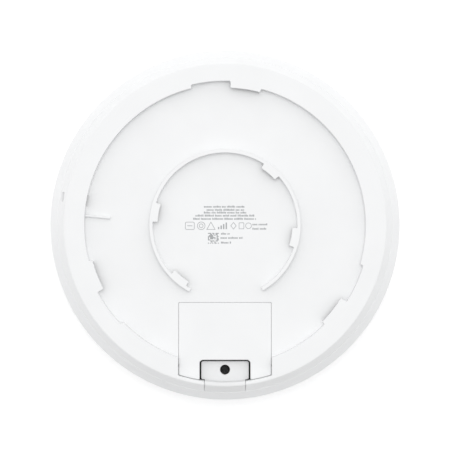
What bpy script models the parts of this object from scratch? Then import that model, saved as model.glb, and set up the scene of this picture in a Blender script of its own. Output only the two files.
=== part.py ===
"""Ceiling access point: a shallow white disc that hangs from a bayonet bracket.

Metres, +Z up into the ceiling. The origin is the centre of the rear rim, in the plane that
meets the ceiling, so the whole object hangs below z = 0. The cable side is at -Y.
"""

import math

import bmesh
import bpy
from mathutils import Matrix, Vector

NAME = "ceiling_access_point"

# ---------------------------------------------------------------- driving dimensions
GAP = 0.0003  # air between neighbouring solids
WALL = 0.0022  # thickness of the casing's floor and of the dome's skin
TURN_STEPS = 90  # facets round the rear casing
DOME_STEPS = 72  # facets round the dome
LIGHT_STEPS = 48  # facets round the light ring and the centre cap

DISC_RADIUS = 0.110
DISC_DEPTH = 0.048
RIM_RADIUS = 0.1006  # outer edge of the flat rim, where the bevel begins
RIM_FILLET = 0.0012
RIM_INNER_WALL = 0.0918  # back of the wall between recess and rim
RIM_OUTER_WALL = 0.0983  # inside of the rim's outer wall
BEVEL_RADIUS = 0.1049  # where the bevel meets the dome
BEVEL_Z = -0.0056
SPIGOT_OUTER = 0.1032  # hidden collar that centres the dome on the casing
SPIGOT_INNER = 0.1012
SPIGOT_Z = -0.010

RECESS_RADIUS = 0.0877
RECESS_Z = -0.0055
FLOOR_UNDER_Z = RECESS_Z - WALL

# Bayonet stations: degrees where each tab starts and ends and where its entry notch ends
STATIONS = ((75.1, 87.8, 103.7), (195.1, 207.8, 223.7), (315.1, 327.8, 343.7))
TAB_RADIUS = 0.0855
TAB_THICKNESS = 0.0018
NOTCH_RADIUS = 0.0898
UNDERCUT_RADIUS = 0.0892

# Open ring inside the recess, with four tabs on its inner side
RING_OUTER = 0.0473
RING_INNER = 0.0451
RING_TOP_Z = -0.0008
RING_TAB_RADIUS = 0.0420
RING_TAB_THICKNESS = 0.0016
RING_SPAN = (300.0, 602.0)
RING_TABS = ((342.2, 357.5), (402.2, 417.5), (522.2, 537.5), (582.2, 597.5))

# Release channel that opens in the bevel, and the window behind it in the recess wall
RELEASE_ANGLE = 170.1
RELEASE_WIDTH = 0.0056
WINDOW_WIDTH = 0.0070

# Rib on the floor that stops the bracket
STOP_CENTRE = (-0.0800, 0.0052)
STOP_LENGTH = 0.0170
STOP_WIDTH = 0.0014
STOP_HEIGHT = 0.0020
STOP_LEAN = -5.4  # degrees from the X axis

# Port compartment
POCKET_HALF = 0.0291
POCKET_TOP_Y = -0.0484
POCKET_FLOOR_Z = -0.0215
POCKET_WALL = 0.0015
COVER_HALF = POCKET_HALF - GAP
COVER_TOP_Y = POCKET_TOP_Y - GAP
COVER_THICKNESS = 0.0018
COVER_UNDER_Z = RECESS_Z - COVER_THICKNESS
HINGE_Y = -0.0490
HINGE_X = (0.020, 0.026)  # from where to where each hinge tongue reaches, on both sides

# Cable plug
PLUG_HALF = 0.0151
PLUG_TOP_Y = -0.0853
PLUG_TOP_Z = -0.0096
PLUG_BOTTOM_Z = -0.0160
PLUG_FLANGE_Z = -0.0122
PLUG_LIP_HALF = 0.01245
LIP_BOTTOM_Z = -0.0120
PLUG_HOLE_Y = -0.0908
PLUG_HOLE_RADIUS = 0.0031
COVER_NOTCH_HALF = PLUG_HALF + 0.0008
COVER_NOTCH_Y = PLUG_TOP_Y + 0.0008

# Jack and reset button, both reached from the compartment
JACK_X = 0.009
JACK_HALF = 0.0080
JACK_FRONT_Y = -0.0466
JACK_BACK_Y = -0.0302
JACK_TOP_Z = -0.0082
RESET_X = -0.014
RESET_Z = -0.0170

# Dome
SHOULDER_Z = -0.014  # height of the widest circle
DOME_POWER = 2.2
DOME_MOUTH = 0.0333
LIGHT_OUTER = DOME_MOUTH - GAP
LIGHT_INNER = 0.0277
CAP_RADIUS = LIGHT_INNER - GAP

# Electronics, as a stack of levels below the casing's floor
BOARD_TOP_Z = -0.0220
BOARD_THICKNESS = 0.0016
BOARD_UNDER_Z = BOARD_TOP_Z - BOARD_THICKNESS
BOARD_RADIUS = 0.080
SINK_RADIUS = 0.062
SINK_TOP_Z = -0.0082
SINK_UNDER_Z = -0.0110
PEDESTAL_Z = -0.0175
PAD_THICKNESS = 0.0007
PLATE_RADIUS = 0.078
PLATE_TOP_Z = -0.0270
PLATE_THICKNESS = 0.0010
PLATE_UNDER_Z = PLATE_TOP_Z - PLATE_THICKNESS
ANTENNA_Z = -0.0370
ANTENNA_SHEET = 0.0006
ANTENNA_RADIUS = 0.058
LED_TOP_Z = -0.0392
LED_THICKNESS = 0.0012
LED_RADIUS = 0.0435
LED_POST_X = 0.0395

POST_RADIUS = 0.070
POST_ANGLES = (22.5, 157.5, 202.5, 337.5)
# Centre x, centre y, size along x, size along y of each chip stack
CHIPS = {
    "processor": (0.0, 0.022, 0.028, 0.028),
    "radio_left": (-0.038, -0.002, 0.024, 0.030),
    "radio_right": (0.038, -0.002, 0.024, 0.030),
}
SINK_POSTS = ((0.0, 0.048), (0.0, -0.008))

# Colour, roughness, metallic
MATERIALS = {
    "white_plastic": ((0.86, 0.87, 0.88, 1.0), 0.42, 0.0),
    "grey_silicone": ((0.70, 0.71, 0.72, 1.0), 0.60, 0.0),
    "light_diffuser": ((0.90, 0.93, 0.96, 1.0), 0.30, 0.0),
    "black_plastic": ((0.03, 0.03, 0.03, 1.0), 0.50, 0.0),
    "gold": ((0.90, 0.68, 0.30, 1.0), 0.25, 1.0),
    "steel": ((0.62, 0.63, 0.64, 1.0), 0.35, 1.0),
    "aluminium": ((0.70, 0.71, 0.72, 1.0), 0.45, 1.0),
    "thermal_pad": ((0.35, 0.42, 0.50, 1.0), 0.80, 0.0),
    "circuit_board": ((0.02, 0.16, 0.10, 1.0), 0.45, 0.0),
    "cable_jacket": ((0.08, 0.08, 0.09, 1.0), 0.55, 0.0),
}


# ---------------------------------------------------------------- scene and materials
def clear_scene():
    for obj in list(bpy.data.objects):
        bpy.data.objects.remove(obj, do_unlink=True)


def new_collection(name):
    collection = bpy.data.collections.new(name)
    bpy.context.scene.collection.children.link(collection)
    return collection


def material(name, label):
    """One material for each sub-part, from the palette above."""
    colour, roughness, metallic = MATERIALS[label]
    made = bpy.data.materials.new(name + "_" + label)
    made.use_nodes = True
    shader = made.node_tree.nodes["Principled BSDF"]
    shader.inputs["Base Color"].default_value = colour
    shader.inputs["Roughness"].default_value = roughness
    shader.inputs["Metallic"].default_value = metallic
    made.diffuse_color = colour
    return made


clear_scene()
PARTS = new_collection(NAME)
CUTTERS = new_collection(NAME + "_cutters")


def part(obj, label, smooth=0.0):
    """Puts an object among the parts; smooth is the sharpest angle that still shades smooth."""
    PARTS.objects.link(obj)
    obj.data.materials.append(material(obj.name, label))
    if smooth:
        obj.data.shade_smooth()
        obj.data.set_sharp_from_angle(angle=math.radians(smooth))
    return obj


def cutter(obj):
    """Puts an object among the cutters and guides, which aren't parts."""
    CUTTERS.objects.link(obj)
    obj.hide_render = True
    obj.display_type = "WIRE"
    return obj


def set_origin(obj, point):
    """Moves an object's origin to a point and leaves its shape where it is."""
    obj.data.transform(Matrix.Translation(-Vector(point)))
    obj.location = point
    return obj


# ---------------------------------------------------------------- shapes
def arc(radius, start, end, step=4.0):
    """Points on a circle about the origin, from start to end in degrees, either way round."""
    count = max(1, math.ceil(abs(end - start) / step))
    angles = [math.radians(start + (end - start) * i / count) for i in range(count + 1)]
    return [(radius * math.cos(a), radius * math.sin(a)) for a in angles]


def fillet(before, corner, after, radius, steps=4):
    """The arc that rounds off a corner between two straight lines, in a plane."""
    before, corner, after = Vector(before), Vector(corner), Vector(after)
    back = (before - corner).normalized()
    ahead = (after - corner).normalized()
    half = back.angle(ahead) / 2
    centre = corner + (back + ahead).normalized() * radius / math.sin(half)
    start = corner + back * radius / math.tan(half) - centre
    end = corner + ahead * radius / math.tan(half) - centre
    first = math.atan2(start.y, start.x)
    sweep = math.remainder(math.atan2(end.y, end.x) - first, math.tau)
    angles = [first + sweep * i / steps for i in range(steps + 1)]
    return [(centre.x + radius * math.cos(a), centre.y + radius * math.sin(a)) for a in angles]


def solid(name, bm):
    mesh = bpy.data.meshes.new(name)
    bmesh.ops.recalc_face_normals(bm, faces=bm.faces)
    bm.to_mesh(mesh)
    bm.free()
    return bpy.data.objects.new(name, mesh)


def add_box(bm, low, high, turn=0.0):
    """A block between two corners, then turned by some degrees about the Z axis."""
    low, high = Vector(low), Vector(high)
    verts = bmesh.ops.create_cube(bm, size=1.0)["verts"]
    bmesh.ops.scale(bm, vec=high - low, verts=verts)
    bmesh.ops.translate(bm, vec=(low + high) / 2, verts=verts)
    around = Matrix.Rotation(math.radians(turn), 3, "Z")
    bmesh.ops.rotate(bm, cent=(0, 0, 0), matrix=around, verts=verts)


def add_cylinder(bm, radius, low_z, high_z, x=0.0, y=0.0, sides=24):
    made = bmesh.ops.create_cone(
        bm, cap_ends=True, segments=sides, radius1=radius, radius2=radius, depth=high_z - low_z
    )
    bmesh.ops.translate(bm, vec=(x, y, (low_z + high_z) / 2), verts=made["verts"])


def boxes(name, corners, turn=0.0):
    bm = bmesh.new()
    for low, high in corners:
        add_box(bm, low, high, turn)
    return solid(name, bm)


def cylinders(name, radius, low_z, high_z, places, sides=24):
    bm = bmesh.new()
    for x, y in places:
        add_cylinder(bm, radius, low_z, high_z, x, y, sides)
    return solid(name, bm)


def slab(name, outline, low_z, high_z):
    """A flat outline, extruded between two heights."""
    curve = bpy.data.curves.new(name, "CURVE")
    curve.dimensions = "2D"
    curve.fill_mode = "BOTH"
    curve.extrude = (high_z - low_z) / 2
    spline = curve.splines.new("POLY")
    spline.points.add(len(outline) - 1)
    for point, (x, y) in zip(spline.points, outline):
        point.co = (x, y, 0.0, 1.0)
    spline.use_cyclic_u = True
    flat = bpy.data.objects.new(name + "_outline", curve)
    bpy.context.scene.collection.objects.link(flat)
    flat.location.z = (low_z + high_z) / 2
    made = as_mesh(flat, name)
    made.data.transform(made.matrix_world)
    made.matrix_world = Matrix.Identity(4)
    return made


def as_mesh(curve_object, name):
    """A curve object as a welded mesh object in the same place; the curve is removed."""
    bpy.context.view_layer.update()
    graph = bpy.context.evaluated_depsgraph_get()
    mesh = bpy.data.meshes.new_from_object(curve_object.evaluated_get(graph))
    mesh.name = name
    bm = bmesh.new()
    bm.from_mesh(mesh)
    bmesh.ops.remove_doubles(bm, verts=bm.verts, dist=1e-6)
    bmesh.ops.recalc_face_normals(bm, faces=bm.faces)
    bm.to_mesh(mesh)
    bm.free()
    made = bpy.data.objects.new(name, mesh)
    made.matrix_world = curve_object.matrix_world
    bpy.data.objects.remove(curve_object, do_unlink=True)
    return made


def turned(name, profile, steps, closed):
    """A profile of (radius, height) points, turned about the Z axis."""
    bm = bmesh.new()
    verts = [bm.verts.new((radius, 0.0, z)) for radius, z in profile]
    for first, second in zip(verts, verts[1:]):
        bm.edges.new((first, second))
    if closed:
        bm.edges.new((verts[-1], verts[0]))
    mesh = bpy.data.meshes.new(name)
    bm.to_mesh(mesh)
    bm.free()
    obj = bpy.data.objects.new(name, mesh)
    screw = obj.modifiers.new("Turn", "SCREW")
    screw.axis = "Z"
    screw.angle = math.tau
    screw.steps = steps
    screw.render_steps = steps
    screw.use_merge_vertices = True
    screw.merge_threshold = 1e-6
    return obj


def boolean(target, operation, tool):
    step = target.modifiers.new(tool.name, "BOOLEAN")
    step.operation = operation
    step.solver = "EXACT"
    step.object = cutter(tool)


def cut(target, tool):
    boolean(target, "DIFFERENCE", tool)


def join(target, tool):
    boolean(target, "UNION", tool)


def both_sides(low, high):
    """A block's corners on the +X side, and its mirror image's."""
    mirrored = ((-high[0], low[1], low[2]), (-low[0], high[1], high[2]))
    return [(low, high), mirrored]


# ---------------------------------------------------------------- shared outlines
def rim_edge():
    """The rim's outer edge and bevel, from the flat rim down to where the dome begins."""
    corner = (RIM_RADIUS, 0.0)
    foot = (BEVEL_RADIUS, BEVEL_Z)
    return fillet((0.0, 0.0), corner, foot, RIM_FILLET) + [foot]


def sector(inner, outer, start, end):
    """The outline of a piece of a flat ring."""
    return arc(outer, start, end) + arc(inner, end, start)


def strip_to_arc(half, top_y, radius):
    """An outline with straight sides and top, closed below by an arc about the origin."""
    lean = math.degrees(math.asin(half / radius))
    return [(half, top_y), (-half, top_y)] + arc(radius, 270.0 - lean, 270.0 + lean)


def dome_height(radius, shrink=0.0):
    """Height of the dome's skin at a radius; shrink is how far inside the outer skin."""
    share = (radius / (DISC_RADIUS - shrink)) ** DOME_POWER
    drop = DISC_DEPTH + SHOULDER_Z - shrink
    return SHOULDER_Z - drop * (1.0 - share) ** (1.0 / DOME_POWER)


def dome_skin(inner, outer, count, shrink=0.0):
    """Points on the dome's skin from an outer to an inner radius, closer together outwards."""
    points = []
    for i in range(count + 1):
        lean = math.radians(90.0 * (1.0 - i / count))
        radius = inner + (outer - inner) * math.sin(lean)
        points.append((radius, dome_height(radius, shrink)))
    return points


def shoulder(start, end, steps):
    """A curve that leaves the bevel along its slope and ends vertical."""
    slope = BEVEL_Z / (BEVEL_RADIUS - RIM_RADIUS)
    middle = (end[0], start[1] + slope * (end[0] - start[0]))
    points = []
    for i in range(steps + 1):
        t = i / steps
        weights = ((1 - t) ** 2, 2 * t * (1 - t), t * t)
        radius = sum(w * p[0] for w, p in zip(weights, (start, middle, end)))
        height = sum(w * p[1] for w, p in zip(weights, (start, middle, end)))
        points.append((radius, height))
    return points


def post_places():
    angles = [math.radians(a) for a in POST_ANGLES]
    return [(POST_RADIUS * math.cos(a), POST_RADIUS * math.sin(a)) for a in angles]


# ---------------------------------------------------------------- rear casing
def casing_profile():
    under = [
        (SPIGOT_OUTER, BEVEL_Z),
        (SPIGOT_OUTER, SPIGOT_Z),
        (SPIGOT_INNER, SPIGOT_Z),
        (SPIGOT_INNER, RECESS_Z),
        (RIM_OUTER_WALL, -WALL),
        (RIM_INNER_WALL, -WALL),
        (RIM_INNER_WALL, FLOOR_UNDER_Z),
        (0.0, FLOOR_UNDER_Z),
    ]
    return [(0.0, 0.0)] + rim_edge() + under


def recess_outline():
    points = []
    previous = STATIONS[-1][2] - 360.0
    for tab_start, tab_end, notch_end in STATIONS:
        points += arc(RECESS_RADIUS, previous, tab_start)
        points += arc(TAB_RADIUS, tab_start, tab_end)
        points += arc(NOTCH_RADIUS, tab_end, notch_end)
        previous = notch_end
    return points


def bracket_ring():
    """The open ring that guides the bracket's hub, undercut below its tabs."""
    inner = []
    previous = RING_SPAN[0]
    for start, end in RING_TABS:
        inner += arc(RING_INNER, previous, start) + arc(RING_TAB_RADIUS, start, end)
        previous = end
    inner += arc(RING_INNER, previous, RING_SPAN[1])
    outline = arc(RING_OUTER, *RING_SPAN) + inner[::-1]
    ring = slab("bracket_ring", outline, RECESS_Z - 0.0007, RING_TOP_Z)
    for number, (start, end) in enumerate(RING_TABS, 1):
        hollow = sector(RING_TAB_RADIUS - 0.001, RING_INNER + 0.0003, start - 0.5, end + 0.5)
        name = f"ring_undercut_{number}"
        cut(ring, slab(name, hollow, RECESS_Z - 0.002, RING_TOP_Z - RING_TAB_THICKNESS))
    return ring


def make_rear_casing():
    casing = turned("rear_casing", casing_profile(), TURN_STEPS, closed=False)
    cut(casing, slab("recess", recess_outline(), RECESS_Z, 0.001))
    for number, (start, end, _) in enumerate(STATIONS, 1):
        hollow = sector(TAB_RADIUS - 0.001, UNDERCUT_RADIUS, start + 0.5, end + 2.0)
        name = f"bayonet_undercut_{number}"
        cut(casing, slab(name, hollow, RECESS_Z + 0.0002, -TAB_THICKNESS))
    join(casing, bracket_ring())
    stop_low = (-STOP_LENGTH / 2, -STOP_WIDTH / 2, RECESS_Z - 0.0007)
    stop_high = (STOP_LENGTH / 2, STOP_WIDTH / 2, RECESS_Z + STOP_HEIGHT)
    stop = boxes("bracket_stop", [(stop_low, stop_high)])
    stop.rotation_euler.z = math.radians(STOP_LEAN)
    stop.location = (*STOP_CENTRE, 0.0)
    join(casing, stop)

    # Compartment for the socket: its tub, which rises to the rim outside the recess
    tub_half = POCKET_HALF + POCKET_WALL
    tub_y = POCKET_TOP_Y + POCKET_WALL
    tub = strip_to_arc(tub_half, tub_y, RIM_OUTER_WALL + POCKET_WALL)
    join(casing, slab("tub", tub, POCKET_FLOOR_Z - POCKET_WALL, RECESS_Z - 0.0011))
    rise = strip_to_arc(tub_half, -0.0885, RIM_OUTER_WALL + POCKET_WALL)
    join(casing, slab("tub_rise", rise, RECESS_Z - 0.0016, -0.0010))
    pocket = strip_to_arc(POCKET_HALF, POCKET_TOP_Y, RIM_OUTER_WALL)
    cut(casing, slab("pocket", pocket, POCKET_FLOOR_Z, 0.001))
    ledge_low = (0.0270, -0.0800, -0.0094)
    ledge_high = (POCKET_HALF + 0.0005, -0.0540, COVER_UNDER_Z - GAP)
    join(casing, boxes("cover_ledges", both_sides(ledge_low, ledge_high)))

    # Openings in the compartment's walls
    lip_gap = PLUG_LIP_HALF + 0.0005
    lip_way = ((-lip_gap, -0.107, LIP_BOTTOM_Z - 0.0004), (lip_gap, -0.0969, 0.001))
    jack_low = (JACK_X - JACK_HALF + 0.0004, -0.0487, BOARD_TOP_Z + 0.0012)
    jack_high = (JACK_X + JACK_HALF - 0.0004, -0.0465, JACK_TOP_Z - 0.0004)
    hinge_low = (HINGE_X[0] - 0.0005, -0.0487, -0.0103)
    hinge_high = (HINGE_X[1] + 0.0005, -0.0465, FLOOR_UNDER_Z - 0.0002)
    windows = [lip_way, (jack_low, jack_high)] + both_sides(hinge_low, hinge_high)
    cut(casing, boxes("wall_windows", windows))
    cut(casing, reset_rod("reset_way", 0.0015, -0.0487, -0.0465))

    # Release channel in from the bevel, in line with a window in the recess wall
    channel = ((0.0990, -RELEASE_WIDTH / 2, -0.0043), (0.1070, RELEASE_WIDTH / 2, -0.0020))
    window = ((0.0865, -WINDOW_WIDTH / 2, RECESS_Z + 0.0003), (0.0925, WINDOW_WIDTH / 2, -0.0016))
    cut(casing, boxes("release_way", [channel, window], turn=RELEASE_ANGLE))

    # Posts that carry the board
    post_low = BOARD_TOP_Z + GAP
    join(casing, cylinders("posts", 0.0035, post_low, RECESS_Z - 0.001, post_places()))
    bore_high = FLOOR_UNDER_Z - 0.0011
    cut(casing, cylinders("post_bores", 0.0018, post_low - 0.001, bore_high, post_places(), 16))
    return part(casing, "white_plastic", smooth=25)


# ---------------------------------------------------------------- port cover and plug
def make_port_cover():
    lean = math.degrees(math.asin(COVER_HALF / (RIM_OUTER_WALL - GAP)))
    notch_lean = math.degrees(math.asin(COVER_NOTCH_HALF / (RIM_OUTER_WALL - GAP)))
    edge = arc(RIM_OUTER_WALL - GAP, lean - 90.0, notch_lean - 90.0)
    corner = (COVER_NOTCH_HALF, COVER_NOTCH_Y)
    right = [(COVER_HALF, COVER_TOP_Y)] + edge
    right += fillet(edge[-1], corner, (0.0, COVER_NOTCH_Y), 0.0022)
    left = [(-x, y) for x, y in right[::-1]]
    cover = slab("port_cover", right + left, COVER_UNDER_Z, RECESS_Z)
    leg_low = (HINGE_X[0], -0.0502, -0.0094)
    leg_high = (HINGE_X[1], -0.0490, COVER_UNDER_Z + 0.0005)
    tongue_low = (HINGE_X[0] + 0.0002, -0.0495, -0.0093)
    tongue_high = (HINGE_X[1] - 0.0002, -0.0472, -0.0082)
    catch_low = (0.0200, -0.0946, -0.0110)
    catch_high = (0.0240, -0.0934, COVER_UNDER_Z + 0.0005)
    barb_low = (0.0202, -0.0950, -0.0109)
    barb_high = (0.0238, -0.0940, -0.0100)
    join(cover, boxes("cover_legs", both_sides(leg_low, leg_high)))
    join(cover, boxes("cover_tongues", both_sides(tongue_low, tongue_high)))
    join(cover, boxes("cover_catches", both_sides(catch_low, catch_high)))
    join(cover, boxes("cover_barbs", both_sides(barb_low, barb_high)))
    set_origin(cover, (0.0, HINGE_Y, RECESS_Z))
    return part(cover, "white_plastic")


def make_cable_plug():
    outer = RIM_OUTER_WALL - GAP
    outline = strip_to_arc(PLUG_HALF, PLUG_TOP_Y, outer)
    corners = fillet(outline[-1], outline[0], outline[1], 0.0014)
    corners += fillet(outline[0], outline[1], outline[2], 0.0014)
    plug = slab("cable_plug", corners + outline[2:], PLUG_BOTTOM_Z, PLUG_TOP_Z)

    # A lip closes the gap in the rim's outer wall and carries on its bevel
    lip_profile = [(outer + 0.0001, 0.0)] + rim_edge()
    lip_profile += [
        (SPIGOT_OUTER - GAP, BEVEL_Z),
        (SPIGOT_OUTER - GAP, LIP_BOTTOM_Z),
        (outer - 0.0018, LIP_BOTTOM_Z),
        (outer - 0.0018, PLUG_TOP_Z - 0.0010),
        (outer + 0.0001, PLUG_TOP_Z - 0.0010),
    ]
    lip = turned("plug_lip", lip_profile, TURN_STEPS, closed=True)
    span = ((-PLUG_LIP_HALF, -0.107, -0.020), (PLUG_LIP_HALF, -0.085, 0.002))
    boolean(lip, "INTERSECT", boxes("plug_lip_span", [span]))
    join(plug, lip)

    hollow = ((-0.0107, -0.0950, -0.0170), (0.0107, -0.0840, PLUG_FLANGE_Z))
    cut(plug, boxes("plug_hollow", [hollow]))
    hole = cylinders("plug_hole", PLUG_HOLE_RADIUS, -0.0170, -0.0050, [(0.0, PLUG_HOLE_Y)])
    cut(plug, hole)
    set_origin(plug, (0.0, PLUG_HOLE_Y, PLUG_TOP_Z))
    return part(plug, "grey_silicone")


# ---------------------------------------------------------------- socket and button
def make_jack():
    low = (JACK_X - JACK_HALF, JACK_FRONT_Y, BOARD_TOP_Z + GAP)
    high = (JACK_X + JACK_HALF, JACK_BACK_Y, JACK_TOP_Z)
    jack = boxes("ethernet_jack", [(low, high)])
    mouth = ((JACK_X - 0.0059, JACK_FRONT_Y - 0.001, -0.0196), (JACK_X + 0.0059, -0.0335, -0.0112))
    latch = ((JACK_X - 0.0031, JACK_FRONT_Y - 0.001, -0.0200), (JACK_X + 0.0031, -0.0360, -0.0095))
    cut(jack, boxes("jack_mouth", [mouth]))
    cut(jack, boxes("jack_latch_way", [latch]))
    part(jack, "steel")

    # Eight sprung contacts on one carrier at the bottom of the socket
    pitch = 0.00102
    carrier = ((JACK_X - 0.0050, -0.0358, -0.0193), (JACK_X + 0.0050, -0.0338, -0.0160))
    contacts = boxes("jack_contacts", [carrier])
    wires = []
    for i in range(8):
        x = JACK_X + (i - 3.5) * pitch
        wires.append(((x - 0.0002, -0.0440, -0.0172), (x + 0.0002, -0.0355, -0.0168)))
    join(contacts, boxes("contact_wires", wires))
    part(contacts, "gold")


def reset_rod(name, radius, low_y, high_y):
    rod = cylinders(name, radius, low_y, high_y, [(0.0, 0.0)], 20)
    rod.data.transform(Matrix.Rotation(math.radians(-90.0), 4, "X"))
    rod.location = (RESET_X, 0.0, RESET_Z)
    return rod


def make_reset_button():
    button = reset_rod("reset_button", 0.0012, -0.0490, -0.0455)
    join(button, reset_rod("reset_flange", 0.0024, -0.0463, -0.0449))
    set_origin(button, (0.0, -0.0490, 0.0))
    button.location = (RESET_X, -0.0490, RESET_Z)
    part(button, "black_plastic", smooth=30)
    low = (RESET_X - 0.003, -0.0440, BOARD_TOP_Z + GAP)
    high = (RESET_X + 0.003, -0.0400, RESET_Z + 0.0025)
    part(boxes("reset_switch", [(low, high)]), "steel")


# ---------------------------------------------------------------- dome and light
def make_dome():
    edge = (BEVEL_RADIUS, BEVEL_Z - GAP)
    outer = shoulder(edge, (DISC_RADIUS, SHOULDER_Z), 4)
    outer += dome_skin(DOME_MOUTH, DISC_RADIUS, 8)[1:]
    inner = dome_skin(DOME_MOUTH, DISC_RADIUS - WALL, 7, WALL)[::-1]
    seat = SPIGOT_OUTER + GAP
    inner += [(seat + 0.0022, -0.0102), (seat, -0.0085), (seat, BEVEL_Z - GAP)]
    dome = turned("dome_cover", outer + inner, DOME_STEPS, closed=True)
    places = [(LED_POST_X, 0.0), (-LED_POST_X, 0.0)]
    post_high = LED_TOP_Z - LED_THICKNESS - GAP
    join(dome, cylinders("light_posts", 0.0030, -0.0452, post_high, places, 20))
    cut(dome, cylinders("light_post_bores", 0.0015, -0.0440, post_high + 0.001, places, 12))
    return part(dome, "white_plastic", smooth=25)


def make_light_ring():
    """A diffuser, flush with the dome, with a flange behind it and a light guide on top."""
    flange_z = -0.0432
    face = dome_skin(LIGHT_INNER, LIGHT_OUTER, 3)
    profile = [(0.0355, flange_z), (0.0355, -0.0442), (LIGHT_OUTER, -0.0442)]
    profile += face
    profile += [(LIGHT_INNER, flange_z), (0.0292, flange_z), (0.0292, -0.0410)]
    profile += [(0.0315, -0.0410), (0.0315, flange_z)]
    return part(turned("light_ring", profile, LIGHT_STEPS, closed=True), "light_diffuser", smooth=25)


def make_centre_cap():
    profile = [(0.0, -0.0456), (0.0254, -0.0456), (0.0254, -0.0420), (0.0288, -0.0420)]
    profile += [(0.0288, -0.0429), (CAP_RADIUS, -0.0429)]
    profile += dome_skin(0.0, CAP_RADIUS, 5)
    return part(turned("centre_cap", profile, LIGHT_STEPS, closed=False), "white_plastic", smooth=25)


def make_led_board():
    under = LED_TOP_Z - LED_THICKNESS
    board = cylinders("led_board", LED_RADIUS, under, LED_TOP_Z, [(0.0, 0.0)], 48)
    middle = (LIGHT_OUTER + LIGHT_INNER) / 2
    low = (middle - 0.0012, -0.0014, under - 0.0005)
    high = (middle + 0.0012, 0.0014, under + 0.0004)
    bm = bmesh.new()
    for i in range(6):
        add_box(bm, low, high, turn=30.0 + 60.0 * i)
    join(board, solid("leds", bm))
    places = [(LED_POST_X, 0.0), (-LED_POST_X, 0.0)]
    cut(board, cylinders("led_board_holes", 0.0016, under - 0.001, LED_TOP_Z + 0.001, places, 16))
    part(board, "circuit_board")
    for number, (x, y) in enumerate(places, 1):
        name = f"led_screw_{number}"
        make_screw(name, x, y, LED_TOP_Z + GAP, -0.0435, 0.0012, up=True)


# ---------------------------------------------------------------- electronics
def make_screw(name, x, y, seat_z, tip_z, radius, up):
    """A pan-head screw; up says that its head is above its seat."""
    screw = cylinders(name, radius, min(seat_z, tip_z), max(seat_z, tip_z), [(0.0, 0.0)], 12)
    head_top = seat_z + 0.0015 if up else seat_z + 0.0001
    head_low = seat_z - 0.0001 if up else seat_z - 0.0015
    head = cylinders(name + "_head", radius * 1.9, head_low, head_top, [(0.0, 0.0)], 16)
    head.location = (x, y, 0.0)
    screw.location = (x, y, 0.0)
    join(screw, head)
    slot_low = head_top - 0.0006 if up else head_low - 0.0005
    slot = boxes(
        name + "_drive",
        [((-radius * 1.1, -0.00025, slot_low), (radius * 1.1, 0.00025, slot_low + 0.0011))],
    )
    slot.location = (x, y, 0.0)
    cut(screw, slot)
    return part(screw, "steel", smooth=30)


def make_main_board():
    board = cylinders("main_board", BOARD_RADIUS, BOARD_UNDER_Z, BOARD_TOP_Z, [(0.0, 0.0)], 64)
    half = POCKET_HALF + POCKET_WALL + GAP
    clearance = ((-half, -0.090, BOARD_UNDER_Z - 0.001), (half, -0.0466, BOARD_TOP_Z + 0.001))
    cut(board, boxes("board_tub_way", [clearance]))
    low, high = BOARD_UNDER_Z - 0.001, BOARD_TOP_Z + 0.001
    places = post_places() + list(SINK_POSTS)
    cut(board, cylinders("board_holes", 0.0019, low, high, places, 16))
    part(board, "circuit_board")


def make_heat_sink():
    sink = cylinders("heat_sink", SINK_RADIUS, SINK_UNDER_Z, SINK_TOP_Z, [(0.0, 0.0)], 60)
    clearance = ((-0.031, -0.070, SINK_UNDER_Z - 0.001), (0.031, -0.027, SINK_TOP_Z + 0.001))
    cut(sink, boxes("sink_socket_way", [clearance]))
    pedestals = []
    for x, y, wide, long in CHIPS.values():
        low = (x - wide / 2 + 0.001, y - long / 2 + 0.001, PEDESTAL_Z)
        high = (x + wide / 2 - 0.001, y + long / 2 - 0.001, SINK_UNDER_Z + 0.0005)
        pedestals.append((low, high))
    join(sink, boxes("sink_pedestals", pedestals))
    post_low = BOARD_TOP_Z + GAP
    join(sink, cylinders("sink_posts", 0.0030, post_low, SINK_UNDER_Z + 0.0006, SINK_POSTS, 20))
    cut(sink, cylinders("sink_bores", 0.0016, post_low - 0.001, -0.0120, SINK_POSTS, 12))
    part(sink, "aluminium")
    for number, (x, y) in enumerate(SINK_POSTS, 1):
        name = f"heat_sink_screw_{number}"
        make_screw(name, x, y, BOARD_UNDER_Z - GAP, -0.0150, 0.0013, up=False)


def make_chip_stacks():
    """Under each pedestal a thermal pad, then the can that shields the chip."""
    for label, (x, y, wide, long) in CHIPS.items():
        pad_high = PEDESTAL_Z - GAP
        pad_low = pad_high - PAD_THICKNESS
        can_high = pad_low - GAP
        inset = 0.002
        pad = ((x - wide / 2 + inset, y - long / 2 + inset, pad_low),
               (x + wide / 2 - inset, y + long / 2 - inset, pad_high))
        can = ((x - wide / 2, y - long / 2, BOARD_TOP_Z + GAP), (x + wide / 2, y + long / 2, can_high))
        part(boxes("thermal_pad_" + label, [pad]), "thermal_pad")
        shield = boxes("shield_can_" + label, [can])
        soften(shield, 0.0006)
        part(shield, "steel")


def soften(obj, width):
    bevel = obj.modifiers.new("Soft edges", "BEVEL")
    bevel.width = width
    bevel.segments = 2
    bevel.limit_method = "ANGLE"


def make_board_parts():
    transformer = ((-0.0300, -0.0430, BOARD_TOP_Z + GAP), (-0.0190, -0.0300, -0.0140))
    body = boxes("ethernet_transformer", [transformer])
    soften(body, 0.0005)
    part(body, "black_plastic")
    places = ((0.0245, -0.0340), (0.0245, -0.0430), (-0.0060, -0.0345))
    for number, (x, y) in enumerate(places, 1):
        name = f"capacitor_{number}"
        can = cylinders(name, 0.0035, BOARD_TOP_Z + GAP, -0.0125, [(0.0, 0.0)], 16)
        can.location = (x, y, 0.0)
        soften(can, 0.0005)
        part(can, "aluminium", smooth=30)


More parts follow.
